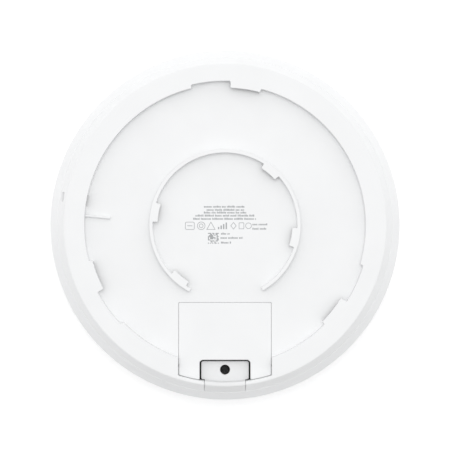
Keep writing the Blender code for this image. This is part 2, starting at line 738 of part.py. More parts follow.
def make_standoffs():
    """Hexagonal standoffs between board and antenna plate, each with a stud into its post."""
    for number, (x, y) in enumerate(post_places(), 1):
        name = f"standoff_{number}"
        low, high = PLATE_TOP_Z + GAP, BOARD_UNDER_Z - GAP
        standoff = cylinders(name, 0.0030, low, high, [(0.0, 0.0)], 6)
        join(standoff, cylinders(name + "_stud", 0.0015, high - 0.0005, -0.0140, [(0.0, 0.0)], 12))
        bore = cylinders(name + "_bore", 0.0015, low - 0.001, high - 0.0006, [(0.0, 0.0)], 12)
        cut(standoff, bore)
        for piece in [standoff] + [step.object for step in standoff.modifiers]:
            piece.location = (x, y, 0.0)
        part(standoff, "gold")
        make_screw(f"plate_screw_{number}", x, y, PLATE_UNDER_Z - GAP, -0.0250, 0.0012, up=False)


def make_antenna_plate():
    plate = cylinders("antenna_plate", PLATE_RADIUS, PLATE_UNDER_Z, PLATE_TOP_Z, [(0.0, 0.0)], 60)
    low, high = PLATE_UNDER_Z - 0.001, PLATE_TOP_Z + 0.001
    cut(plate, cylinders("plate_holes", 0.0016, low, high, post_places(), 16))
    ribbon_way = ((-0.0050, 0.0300, low), (0.0050, 0.0345, high))
    cut(plate, boxes("ribbon_way", [ribbon_way]))
    part(plate, "aluminium")


def make_antenna(name, length, degrees):
    """A bent strip: a foot on the plate, a leg and a radiating arm parallel to the plate."""
    foot, sheet, width = 0.008, ANTENNA_SHEET, 0.010
    left, right = -length / 2, length / 2
    top, bottom = PLATE_UNDER_Z - GAP, ANTENNA_Z
    outline = [
        (left, top),
        (left + foot, top),
        (left + foot, bottom + sheet),
        (right, bottom + sheet),
        (right, bottom),
        (left + foot - sheet, bottom),
        (left + foot - sheet, top - sheet),
        (left, top - sheet),
    ]
    strip = slab(name, outline, -width / 2, width / 2)
    stand = Matrix.Rotation(math.radians(90.0), 4, "X")
    strip.data.transform(stand)
    place = Matrix.Rotation(math.radians(degrees - 90.0), 4, "Z")
    strip.data.transform(place @ Matrix.Translation((0.0, ANTENNA_RADIUS, 0.0)))
    part(strip, "gold")


def make_coax(name, degrees):
    """A thin cable from the board to an antenna's foot, in the gap between board and plate."""
    curve = bpy.data.curves.new(name, "CURVE")
    curve.dimensions = "3D"
    curve.bevel_depth = 0.00065
    curve.bevel_resolution = 1
    curve.use_fill_caps = True
    spline = curve.splines.new("POLY")
    count = 9
    spline.points.add(count - 1)
    turn = Matrix.Rotation(math.radians(degrees), 4, "Z")
    for i, point in enumerate(spline.points):
        t = i / (count - 1)
        fall = (1.0 - math.cos(math.pi * t)) / 2
        sway = 0.004 * math.sin(math.pi * t) ** 2
        at = turn @ Vector((0.026 + 0.027 * t, 0.006 + sway, -0.0247 - 0.0012 * fall))
        point.co = (*at, 1.0)
    wire = bpy.data.objects.new(name + "_route", curve)
    bpy.context.scene.collection.objects.link(wire)
    part(as_mesh(wire, name), "cable_jacket", smooth=60)


def make_antennas():
    for number in range(4):
        degrees = 90.0 * number
        make_antenna(f"antenna_wide_{number + 1}", 0.034, degrees + 45.0)
        make_antenna(f"antenna_short_{number + 1}", 0.022, degrees)
        make_coax(f"coax_wide_{number + 1}", degrees + 45.0)
        make_coax(f"coax_short_{number + 1}", degrees)


def make_led_ribbon():
    """A flat cable from the light's board up through the plate to the main board."""
    thick = 0.0004
    low, high = LED_TOP_Z + GAP, BOARD_UNDER_Z - GAP
    outline = [
        (0.0400, low),
        (0.0400, low + thick),
        (0.0340, low + thick),
        (0.0324, low + 0.0020),
        (0.0324, high),
        (0.0320, high),
        (0.0320, low + 0.0019),
        (0.0338, low),
    ]
    ribbon = slab("led_ribbon", outline, -0.004, 0.004)
    ribbon.data.transform(Matrix.Rotation(math.radians(90.0), 4, "X"))
    ribbon.data.transform(Matrix.Rotation(math.radians(90.0), 4, "Z"))
    part(ribbon, "cable_jacket")


# ---------------------------------------------------------------- assembly
make_rear_casing()
make_port_cover()
make_cable_plug()
make_jack()
make_reset_button()
make_dome()
make_light_ring()
make_centre_cap()
make_led_board()
make_main_board()
make_heat_sink()
make_chip_stacks()
make_board_parts()
make_standoffs()
make_antenna_plate()
make_antennas()
make_led_ribbon()
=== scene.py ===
"""Looks of the ceiling access point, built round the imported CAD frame.

Metres, in the CAD frame: +Z up into the ceiling, the rear rim in the plane z = 0, the cable
exit at -Y. The camera looks straight down on the back of the object.
"""

import math
import random

import bmesh
import bpy
from mathutils import Matrix, Vector


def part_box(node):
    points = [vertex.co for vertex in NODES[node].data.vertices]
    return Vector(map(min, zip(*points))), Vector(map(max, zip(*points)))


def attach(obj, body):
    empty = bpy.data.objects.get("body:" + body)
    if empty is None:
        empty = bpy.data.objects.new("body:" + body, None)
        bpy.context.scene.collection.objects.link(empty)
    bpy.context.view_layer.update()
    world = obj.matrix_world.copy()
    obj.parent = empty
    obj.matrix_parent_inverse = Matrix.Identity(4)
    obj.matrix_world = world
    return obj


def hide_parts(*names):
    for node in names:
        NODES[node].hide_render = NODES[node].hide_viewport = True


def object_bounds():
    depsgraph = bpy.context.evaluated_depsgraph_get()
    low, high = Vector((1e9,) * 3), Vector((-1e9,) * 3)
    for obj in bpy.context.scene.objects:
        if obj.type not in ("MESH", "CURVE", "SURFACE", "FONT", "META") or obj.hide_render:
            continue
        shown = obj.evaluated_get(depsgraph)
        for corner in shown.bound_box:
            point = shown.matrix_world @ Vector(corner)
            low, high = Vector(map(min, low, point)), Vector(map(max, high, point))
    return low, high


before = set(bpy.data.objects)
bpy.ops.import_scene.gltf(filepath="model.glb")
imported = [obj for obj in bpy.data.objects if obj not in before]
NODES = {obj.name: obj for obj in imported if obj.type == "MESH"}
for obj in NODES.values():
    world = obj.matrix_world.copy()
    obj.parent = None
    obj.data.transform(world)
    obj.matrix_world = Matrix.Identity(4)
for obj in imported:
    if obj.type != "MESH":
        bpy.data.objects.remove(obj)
CAD_LOW, CAD_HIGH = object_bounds()

# ---------------------------------------------------------------- sizes, in metres
DISC_RADIUS = (CAD_HIGH.x - CAD_LOW.x) / 2
APEX_Z = CAD_LOW.z
WALL = 0.0022
GAP = 0.0003
# Seam of the cover and of the dome, much finer than the GAP of the CAD
HAIRLINE = 0.00004
# Height by which a cutter passes the face that it opens
CLEAR = 0.00005
# Smallest step that keeps two surfaces from coinciding in a boolean
TRIM = 0.00002
ROUND_STEPS = 288

RIM_RADIUS = 0.1006
RIM_FILLET = 0.0012
RIM_INNER_WALL = 0.0918
RIM_OUTER_WALL = 0.0983
BEVEL_RADIUS = 0.1049
BEVEL_Z = -0.0056
SPIGOT_OUTER = 0.1032
SPIGOT_INNER = 0.1012
SPIGOT_Z = -0.010

RECESS_RADIUS = 0.0877
RECESS_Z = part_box("port_cover")[1].z
FLOOR_UNDER_Z = RECESS_Z - WALL
STATIONS = ((75.1, 87.8, 103.7), (195.1, 207.8, 223.7), (315.1, 327.8, 343.7))
TAB_RADIUS = 0.0855
TAB_THICKNESS = 0.0018
NOTCH_RADIUS = 0.0898
UNDERCUT_RADIUS = 0.0892

RING_OUTER = 0.0473
RING_INNER = 0.0451
RING_TOP_Z = -0.0008
RING_TAB_RADIUS = 0.0420
RING_TAB_THICKNESS = 0.0016
RING_SPAN = (300.0, 602.0)
RING_TABS = ((342.2, 357.5), (402.2, 417.5), (522.2, 537.5), (582.2, 597.5))
RELEASE_ANGLE = 170.1
RELEASE_WIDTH = 0.0056
WINDOW_WIDTH = 0.0070
STOP_CENTRE = (-0.0800, 0.0052)
STOP_LENGTH = 0.0170
STOP_WIDTH = 0.0015
STOP_HEIGHT = 0.0020
STOP_LEAN = -5.4

COVER_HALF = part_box("port_cover")[1].x
COVER_THICKNESS = 0.0018
COVER_UNDER_Z = RECESS_Z - COVER_THICKNESS
POCKET_HALF = COVER_HALF + GAP
POCKET_TOP_Y = -0.0484
POCKET_FLOOR_Z = -0.0215
POCKET_WALL = 0.0015
POCKET_WALL_Y = (-0.0487, -0.0465)
HINGE_X = (0.020, 0.026)

PLUG_LOW, PLUG_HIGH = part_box("cable_plug")
PLUG_HALF = PLUG_HIGH.x
PLUG_TOP_Y = PLUG_HIGH.y
PLUG_TOP_Z = -0.0096
PLUG_BOTTOM_Z = PLUG_LOW.z
PLUG_FLANGE_Z = -0.0122
PLUG_LIP_HALF = 0.01245
LIP_BOTTOM_Z = -0.0120
PLUG_HOLE_Y = -0.0908
PLUG_HOLE_RADIUS = 0.0031

JACK_LOW, JACK_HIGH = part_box("ethernet_jack")
BOARD_TOP_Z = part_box("main_board")[1].z
RESET_LOW, RESET_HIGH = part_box("reset_button")

SHOULDER_Z = -0.014
DOME_POWER = 2.2
DOME_MOUTH = 0.0333
LIGHT_OUTER = DOME_MOUTH - GAP
LIGHT_INNER = 0.0277
CAP_RADIUS = LIGHT_INNER - GAP
LED_TOP_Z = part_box("led_board")[1].z
LED_UNDER_Z = LED_TOP_Z - 0.0012
LED_POST_X = 0.0395

POST_RADIUS = 0.070
POST_ANGLES = (22.5, 157.5, 202.5, 337.5)


# ---------------------------------------------------------------- outlines
def polar(radius, degrees):
    angle = math.radians(degrees)
    return radius * math.cos(angle), radius * math.sin(angle)


def arc(radius, start, end, step=1.25):
    count = max(1, math.ceil(abs(end - start) / step))
    return [polar(radius, start + (end - start) * i / count) for i in range(count + 1)]


def fillet(before, corner, after, radius, steps):
    """The arc that rounds off a corner between two straight lines, in a plane."""
    before, corner, after = Vector(before), Vector(corner), Vector(after)
    back = (before - corner).normalized()
    ahead = (after - corner).normalized()
    half = back.angle(ahead) / 2
    longest = 0.48 * min((before - corner).length, (after - corner).length)
    radius = min(radius, longest * math.tan(half))
    centre = corner + (back + ahead).normalized() * radius / math.sin(half)
    start = corner + back * radius / math.tan(half) - centre
    end = corner + ahead * radius / math.tan(half) - centre
    first = math.atan2(start.y, start.x)
    sweep = math.remainder(math.atan2(end.y, end.x) - first, math.tau)
    angles = [first + sweep * i / steps for i in range(steps + 1)]
    return [(centre.x + radius * math.cos(a), centre.y + radius * math.sin(a)) for a in angles]


def round_corners(points, radius, steps=5, sharpest=25.0):
    """A closed outline with a fillet in place of each corner that turns by more than some degrees."""
    made = []
    count = len(points)
    for i, point in enumerate(points):
        before, after = Vector(points[i - 1]), Vector(points[(i + 1) % count])
        here = Vector(point)
        turn = math.degrees((here - before).angle(after - here))
        if turn > sharpest:
            made += fillet(before, here, after, radius, steps)
        else:
            made.append(tuple(here))
    return made


def signed_area(points):
    pairs = zip(points, points[1:] + points[:1])
    return sum(a[0] * b[1] - b[0] * a[1] for a, b in pairs) / 2


def offset(points, distance):
    """A closed outline grown by a distance, or shrunk if it is negative."""
    if distance == 0.0:
        return list(points)
    side = 1.0 if signed_area(points) > 0 else -1.0
    made = []
    count = len(points)
    for i, point in enumerate(points):
        here = Vector(point)
        first = (here - Vector(points[i - 1])).normalized()
        second = (Vector(points[(i + 1) % count]) - here).normalized()
        along = (first + second).normalized()
        outward = Vector((along.y, -along.x)) * side
        stretch = max(0.4, outward.dot(Vector((first.y, -first.x)) * side))
        made.append(tuple(here + outward * distance / stretch))
    return made


def sector(inner, outer, start, end):
    return arc(outer, start, end) + arc(inner, end, start)


def strip_to_arc(half, top_y, radius, step=1.13):
    """Straight sides and top, closed below by an arc about the origin.

    Its steps differ from those of arc(), so that the two don't share vertices in a boolean.
    """
    lean = math.degrees(math.asin(half / radius))
    return [(half, top_y), (-half, top_y)] + arc(radius, 270.0 - lean, 270.0 + lean, step)


# ---------------------------------------------------------------- heights and edges
def edge_angles(steps, most=90.0):
    return [math.radians(most * i / steps) for i in range(steps + 1)]


def solid_levels(low, high, edge, steps=4, edge_low=0.0):
    """(height, offset) pairs of a solid with a rounded top edge, and bottom edge if asked."""
    levels = []
    if edge_low:
        for a in edge_angles(steps):
            levels.append((low + edge_low * (1 - math.sin(a)), -edge_low * (1 - math.cos(a))))
        levels.reverse()
    else:
        levels.append((low, 0.0))
    for a in edge_angles(steps):
        levels.append((high - edge * (1 - math.sin(a)), -edge * (1 - math.cos(a))))
    return levels


def void_levels(low, high, flare, foot=0.0, steps=4, most=72.0):
    """(height, offset) pairs of a cutter that leaves a rounded mouth, and a foot fillet if asked."""
    levels = []
    for a in reversed(edge_angles(steps)):
        if foot:
            levels.append((low + foot * (1 - math.sin(a)), -foot * (1 - math.cos(a))))
    if not foot:
        levels.append((low, 0.0))
    rise = flare * math.sin(math.radians(most)) - CLEAR
    for a in edge_angles(steps, most):
        levels.append((high - rise + flare * math.sin(a), flare * (1 - math.cos(a))))
    return levels


# ---------------------------------------------------------------- meshes
def from_bmesh(name, bm):
    mesh = bpy.data.meshes.new(name)
    bmesh.ops.recalc_face_normals(bm, faces=bm.faces)
    bm.to_mesh(mesh)
    bm.free()
    obj = bpy.data.objects.new(name, mesh)
    bpy.context.scene.collection.objects.link(obj)
    return obj


def add_loft(bm, rings):
    """Quads between closed rings of points, with a flat cap at each end."""
    loops = [[bm.verts.new(p) for p in ring] for ring in rings]
    count = len(loops[0])
    for lower, upper in zip(loops, loops[1:]):
        for i in range(count):
            j = (i + 1) % count
            bm.faces.new((lower[i], lower[j], upper[j], upper[i]))
    bm.faces.new(loops[0])
    bm.faces.new(loops[-1])


def add_pad(bm, outline, levels):
    rings = []
    for height, grow in levels:
        rings.append([(x, y, height) for x, y in offset(outline, grow)])
    add_loft(bm, rings)


def pad(name, outline, levels):
    bm = bmesh.new()
    add_pad(bm, outline, levels)
    return from_bmesh(name, bm)


def add_box(bm, low, high, turn=0.0):
    low, high = Vector(low), Vector(high)
    verts = bmesh.ops.create_cube(bm, size=1.0)["verts"]
    bmesh.ops.scale(bm, vec=high - low, verts=verts)
    bmesh.ops.translate(bm, vec=(low + high) / 2, verts=verts)
    around = Matrix.Rotation(math.radians(turn), 3, "Z")
    bmesh.ops.rotate(bm, cent=(0, 0, 0), matrix=around, verts=verts)


def boxes(name, corners, turn=0.0):
    bm = bmesh.new()
    for low, high in corners:
        add_box(bm, low, high, turn)
    return from_bmesh(name, bm)


def both_sides(low, high):
    mirrored = ((-high[0], low[1], low[2]), (-low[0], high[1], high[2]))
    return [(low, high), mirrored]


def rods(name, radius, low_z, high_z, places, sides=32):
    bm = bmesh.new()
    for x, y in places:
        made = bmesh.ops.create_cone(
            bm, cap_ends=True, segments=sides, radius1=radius, radius2=radius, depth=high_z - low_z
        )
        bmesh.ops.translate(bm, vec=(x, y, (low_z + high_z) / 2), verts=made["verts"])
    return from_bmesh(name, bm)


def turned(name, profile, closed, steps=ROUND_STEPS):
    """A profile of (radius, height) points, turned about the Z axis; flat ends unless closed."""
    angles = [math.tau * i / steps for i in range(steps)]
    bm = bmesh.new()
    rings = []
    for radius, z in profile:
        rings.append([bm.verts.new((radius * math.cos(a), radius * math.sin(a), z)) for a in angles])
    pairs = list(zip(rings, rings[1:]))
    if closed:
        pairs.append((rings[-1], rings[0]))
    else:
        bm.faces.new(rings[0])
        bm.faces.new(rings[-1])
    for upper, lower in pairs:
        for i in range(steps):
            j = (i + 1) % steps
            bm.faces.new((upper[i], upper[j], lower[j], lower[i]))
    return from_bmesh(name, bm)


def boolean(target, operation, *tools):
    """Cuts or joins at once, and removes the tools."""
    for tool in tools:
        step = target.modifiers.new(tool.name, "BOOLEAN")
        step.operation = operation
        step.solver = "EXACT"
        step.object = tool
    bpy.context.view_layer.update()
    graph = bpy.context.evaluated_depsgraph_get()
    mesh = bpy.data.meshes.new_from_object(target.evaluated_get(graph))
    target.modifiers.clear()
    old = target.data
    target.data = mesh
    bpy.data.meshes.remove(old)
    for tool in tools:
        bpy.data.objects.remove(tool, do_unlink=True)


def cut(target, *tools):
    boolean(target, "DIFFERENCE", *tools)


def join(target, *tools):
    boolean(target, "UNION", *tools)


def shade(obj, sharpest=32.0):
    """Smooth shading that keeps flat faces flat and edges sharp."""
    obj.data.shade_smooth()
    obj.data.set_sharp_from_angle(angle=math.radians(sharpest))
    weighted = obj.modifiers.new("Weighted normals", "WEIGHTED_NORMAL")
    weighted.keep_sharp = True
    weighted.weight = 100


def soften(obj, width, segments=2, sharpest=40.0):
    """Rounds the edges that turn by more than some degrees."""
    bevel = obj.modifiers.new("Soft edges", "BEVEL")
    bevel.width = width
    bevel.segments = segments
    bevel.limit_method = "ANGLE"
    bevel.angle_limit = math.radians(sharpest)
    bevel.use_clamp_overlap = True


# ---------------------------------------------------------------- materials
# Painted shade: an occlusion node paints cavities, gaps and holes towards this near-black colour. The
# settings below are its reach, its samples, the span of the darkening and how much gloss it takes off.
PAINTED_SHADE_BLACK = (0.02, 0.02, 0.02)
UNSHADED_WHITE = (1.0, 1.0, 1.0)
PAINTED_SHADE_REACH = 0.06
PAINTED_SHADE_SAMPLES = 12
PAINTED_SHADE_SPAN = 0.18
PAINTED_SHADE_DULLING = 0.5


def new_material(name):
    made = bpy.data.materials.new(name)
    made.use_nodes = True
    tree = made.node_tree
    return made, tree, tree.nodes["Principled BSDF"]


def noise(tree, scale, detail=3.0, roughness=0.55):
    place = tree.nodes.new("ShaderNodeTexCoord")
    made = tree.nodes.new("ShaderNodeTexNoise")
    made.inputs["Scale"].default_value = scale
    made.inputs["Detail"].default_value = detail
    made.inputs["Roughness"].default_value = roughness
    tree.links.new(place.outputs["Object"], made.inputs["Vector"])
    return made.outputs["Fac"]


def ramp(tree, value, low, high, start=0.3, end=0.7):
    made = tree.nodes.new("ShaderNodeValToRGB")
    made.color_ramp.elements[0].position = start
    made.color_ramp.elements[1].position = end
    made.color_ramp.elements[0].color = (*low, 1.0)
    made.color_ramp.elements[1].color = (*high, 1.0)
    tree.links.new(value, made.inputs["Fac"])
    return made.outputs["Color"]


def spread(tree, value, low, high):
    made = tree.nodes.new("ShaderNodeMapRange")
    made.inputs["To Min"].default_value = low
    made.inputs["To Max"].default_value = high
    tree.links.new(value, made.inputs["Value"])
    return made.outputs["Result"]


def bump(tree, shader, value, distance, strength=1.0):
    made = tree.nodes.new("ShaderNodeBump")
    made.inputs["Distance"].default_value = distance
    made.inputs["Strength"].default_value = strength
    tree.links.new(value, made.inputs["Height"])
    tree.links.new(made.outputs["Normal"], shader.inputs["Normal"])


def painted_cavity_shade(tree, start):
    """Painted shade from an occlusion node: white in the open, near black deep inside a closed space; a
    look, not a property.
    """
    depth = tree.nodes.new("ShaderNodeAmbientOcclusion")
    depth.inputs["Distance"].default_value = PAINTED_SHADE_REACH
    depth.samples = PAINTED_SHADE_SAMPLES
    return ramp(tree, depth.outputs["AO"], PAINTED_SHADE_BLACK, UNSHADED_WHITE, start, start + PAINTED_SHADE_SPAN)


# Multiplies the colours by the painted shade.
def shadowed(tree, colours, light):
    mix = tree.nodes.new("ShaderNodeMix")
    mix.data_type = "RGBA"
    mix.blend_type = "MULTIPLY"
    mix.inputs["Factor"].default_value = 1.0
    tree.links.new(colours, mix.inputs["A"])
    tree.links.new(light, mix.inputs["B"])
    return mix.outputs["Result"]


def dulled(tree, roughness, light):
    """Takes the gloss off surfaces deep inside, so that they stay dark."""
    dull = tree.nodes.new("ShaderNodeMath")
    dull.operation = "MULTIPLY_ADD"
    dull.use_clamp = True
    tree.links.new(light, dull.inputs[0])
    dull.inputs[1].default_value = -PAINTED_SHADE_DULLING
    dull.inputs[2].default_value = PAINTED_SHADE_DULLING
    total = tree.nodes.new("ShaderNodeMath")
    total.use_clamp = True
    tree.links.new(roughness, total.inputs[0])
    tree.links.new(dull.outputs["Value"], total.inputs[1])
    return total.outputs["Value"]


def tinted(colour, factor):
    return tuple(min(1.0, c * factor) for c in colour)


def moulded(name, colour, rough=0.45, grain=5200.0, depth=0.000012, deep=0.1, **fixed):
    """Moulded plastic: a fine spark-eroded grain over very slow changes of tone.

    Where occlusion falls below deep, painted shade darkens the colour towards near black and takes the
    gloss off; with None it never does.
    """
    made, tree, shader = new_material(name)
    slow = noise(tree, 38.0, 2.0)
    colours = ramp(tree, slow, tinted(colour, 0.988), tinted(colour, 1.012))
    fine = noise(tree, grain, 2.0, 0.5)
    gloss = spread(tree, fine, rough - 0.05, rough + 0.07)
    # Painted shade in cavities, gaps and holes, and less gloss there
    if deep is not None:
        light = painted_cavity_shade(tree, deep)
        colours = shadowed(tree, colours, light)
        gloss = dulled(tree, gloss, light)
    tree.links.new(colours, shader.inputs["Base Color"])
    tree.links.new(gloss, shader.inputs["Roughness"])
    bump(tree, shader, fine, depth, 0.35)
    for socket, value in fixed.items():
        shader.inputs[socket.replace("_", " ")].default_value = value
    return made


def metal(name, colour, rough=0.3, along=(1.0, 1.0, 14.0), scale=420.0, depth=0.000008):
    """Sheet or turned metal with fine scratches drawn out along one direction."""
    made, tree, shader = new_material(name)
    place = tree.nodes.new("ShaderNodeTexCoord")
    stretch = tree.nodes.new("ShaderNodeMapping")
    stretch.inputs["Scale"].default_value = along
    streaks = tree.nodes.new("ShaderNodeTexNoise")
    streaks.inputs["Scale"].default_value = scale
    streaks.inputs["Detail"].default_value = 4.0
    tree.links.new(place.outputs["Object"], stretch.inputs["Vector"])
    tree.links.new(stretch.outputs["Vector"], streaks.inputs["Vector"])
    value = streaks.outputs["Fac"]
    colours = ramp(tree, value, tinted(colour, 0.9), tinted(colour, 1.06))
    tree.links.new(colours, shader.inputs["Base Color"])
    tree.links.new(spread(tree, value, rough - 0.08, rough + 0.12), shader.inputs["Roughness"])
    shader.inputs["Metallic"].default_value = 1.0
    bump(tree, shader, value, depth, 0.4)
    return made


def board_mask(name):
    """Green solder mask with buried tracks that show as slightly raised lines."""
    made, tree, shader = new_material(name)
    place = tree.nodes.new("ShaderNodeTexCoord")
    tracks = tree.nodes.new("ShaderNodeTexVoronoi")
    tracks.distance = "MANHATTAN"
    tracks.feature = "F1"
    tracks.inputs["Scale"].default_value = 260.0
    tree.links.new(place.outputs["Object"], tracks.inputs["Vector"])
    value = tracks.outputs["Distance"]
    colours = ramp(tree, value, (0.012, 0.10, 0.055), (0.02, 0.19, 0.10), 0.35, 0.5)
    tree.links.new(colours, shader.inputs["Base Color"])
    tree.links.new(spread(tree, value, 0.28, 0.42), shader.inputs["Roughness"])
    shader.inputs["Coat Weight"].default_value = 0.3
    bump(tree, shader, value, 0.00002, 0.5)
    return made


def wear(obj, made):
    """Gives an object one material in place of what it has."""
    obj.data.materials.clear()
    obj.data.materials.append(made)


WHITE = (0.800, 0.806, 0.812)
# Painted shade darkens the cavities, gaps and holes of the casing, cover, plug, black plastic, thermal
# pad and cable jacket; the dome, diffuser and ink have none.
MATERIALS = {
    "casing": moulded("casing_white", WHITE, 0.46, deep=0.07),
    "cover": moulded("cover_white", (0.802, 0.808, 0.814), 0.44, deep=0.0),
    "dome": moulded("dome_white", (0.805, 0.811, 0.818), 0.36, 4200.0, 0.000008, None),
    "plug": moulded("plug_silicone", (0.77, 0.775, 0.78), 0.55, 3000.0, 0.00001, 0.02,
                    Sheen_Weight=0.1),
    "diffuser": moulded("light_diffuser", (0.82, 0.85, 0.88), 0.28, 2600.0, 0.000004, None,
                        Transmission_Weight=0.25, IOR=1.5),
    "black": moulded("black_plastic", (0.022, 0.022, 0.024), 0.42, 3800.0, 0.00001),
    "ink": moulded("grey_ink", (0.34, 0.35, 0.36), 0.6, 6000.0, 0.000002, None),
    "rubber": moulded("thermal_pad", (0.30, 0.38, 0.47), 0.8, 2400.0, 0.00002),
    "jacket": moulded("cable_jacket", (0.03, 0.03, 0.033), 0.5, 3200.0, 0.00001),
    "steel": metal("plated_steel", (0.62, 0.63, 0.64), 0.3),
    "brass": metal("gold_plate", (0.86, 0.64, 0.28), 0.24, (14.0, 1.0, 1.0)),
    "cast": metal("cast_aluminium", (0.68, 0.69, 0.70), 0.48, (1.0, 1.0, 1.0), 900.0, 0.00003),
    "board": board_mask("solder_mask"),
}


# ---------------------------------------------------------------- shared shapes
def rim_edge(steps=8):
    """The rim's outer edge and bevel, from the flat rim down to the dome."""
    corner = (RIM_RADIUS, 0.0)
    foot = (BEVEL_RADIUS, BEVEL_Z)
    top = fillet((RIM_RADIUS - 0.02, 0.0), corner, foot, RIM_FILLET, steps)
    lip = fillet(corner, foot, (SPIGOT_OUTER, BEVEL_Z), 0.0003, 3)
    return top + lip


def dome_height(radius, shrink=0.0):
    share = (radius / (DISC_RADIUS - shrink)) ** DOME_POWER
    drop = SHOULDER_Z - APEX_Z - shrink
    return SHOULDER_Z - drop * max(0.0, 1.0 - share) ** (1.0 / DOME_POWER)


def dome_skin(inner, outer, count, shrink=0.0):
    points = []
    for i in range(count + 1):
        lean = math.radians(90.0 * (1.0 - i / count))
        radius = inner + (outer - inner) * math.sin(lean)
        points.append((radius, dome_height(radius, shrink)))
    return points


def shoulder(start, end, steps):
    """A curve that leaves the bevel along its slope and ends vertical."""
    slope = BEVEL_Z / (BEVEL_RADIUS - RIM_RADIUS)
    middle = (end[0], start[1] + slope * (end[0] - start[0]))
    points = []
    for i in range(steps + 1):
        t = i / steps
        weights = ((1 - t) ** 2, 2 * t * (1 - t), t * t)
        radius = sum(w * p[0] for w, p in zip(weights, (start, middle, end)))
        height = sum(w * p[1] for w, p in zip(weights, (start, middle, end)))
        points.append((radius, height))
    return points


def post_places():
    return [polar(POST_RADIUS, a) for a in POST_ANGLES]


# ---------------------------------------------------------------- rear casing
def recess_outline():
    """The recess seen from behind, with its tabs and notches and the port compartment."""
    pocket_out = math.degrees(math.asin(POCKET_HALF / RIM_OUTER_WALL))
    pocket_in = math.degrees(math.asin(POCKET_HALF / RECESS_RADIUS))
    pocket = (RIM_OUTER_WALL, 270.0 - pocket_out, 270.0 + pocket_out)
    before_pocket, after_pocket = 270.0 - pocket_in, 270.0 + pocket_in
    stretches = []
    previous = STATIONS[-1][2] - 360.0
    for tab_start, tab_end, notch_end in STATIONS:
        if previous < before_pocket < tab_start:
            stretches += [(RECESS_RADIUS, previous, before_pocket), pocket]
            previous = after_pocket
        stretches.append((RECESS_RADIUS, previous, tab_start))
        stretches.append((TAB_RADIUS, tab_start, tab_end))
        stretches.append((NOTCH_RADIUS, tab_end, notch_end))
        previous = notch_end
    points = []
    for radius, start, end in stretches:
        points += arc(radius, start, end)
    return round_corners(points, 0.0008)


def ring_outline():
    inner = []
    previous = RING_SPAN[0]
    for start, end in RING_TABS:
        inner += arc(RING_INNER, previous, start, 2.0) + arc(RING_TAB_RADIUS, start, end, 2.0)
        previous = end
    inner += arc(RING_INNER, previous, RING_SPAN[1], 2.0)
    return round_corners(arc(RING_OUTER, *RING_SPAN, 2.0) + inner[::-1], 0.0005)


def bracket_ring():
    ring = pad("bracket_ring", ring_outline(), solid_levels(RECESS_Z - 0.0007, RING_TOP_Z, 0.00035))
    hollows = []
    for start, end in RING_TABS:
        hollow = sector(RING_TAB_RADIUS - 0.001, RING_INNER + 0.0003, start - 0.5, end + 0.5)
        levels = [(RECESS_Z - 0.002, 0.0), (RING_TOP_Z - RING_TAB_THICKNESS, 0.0)]
        hollows.append(pad("ring_hollow", hollow, levels))
    cut(ring, *hollows)
    return ring


def casing_body():
    under = [
        (SPIGOT_OUTER, BEVEL_Z),
        (SPIGOT_OUTER, SPIGOT_Z),
        (SPIGOT_INNER, SPIGOT_Z),
        (SPIGOT_INNER, RECESS_Z),
        (RIM_OUTER_WALL, -WALL),
        (RIM_INNER_WALL, -WALL),
        (RIM_INNER_WALL, FLOOR_UNDER_Z),
    ]
    return turned("rear_casing_shell", rim_edge() + under, closed=False)


def flat_levels(low, high):
    return [(low, 0.0), (high, 0.0)]


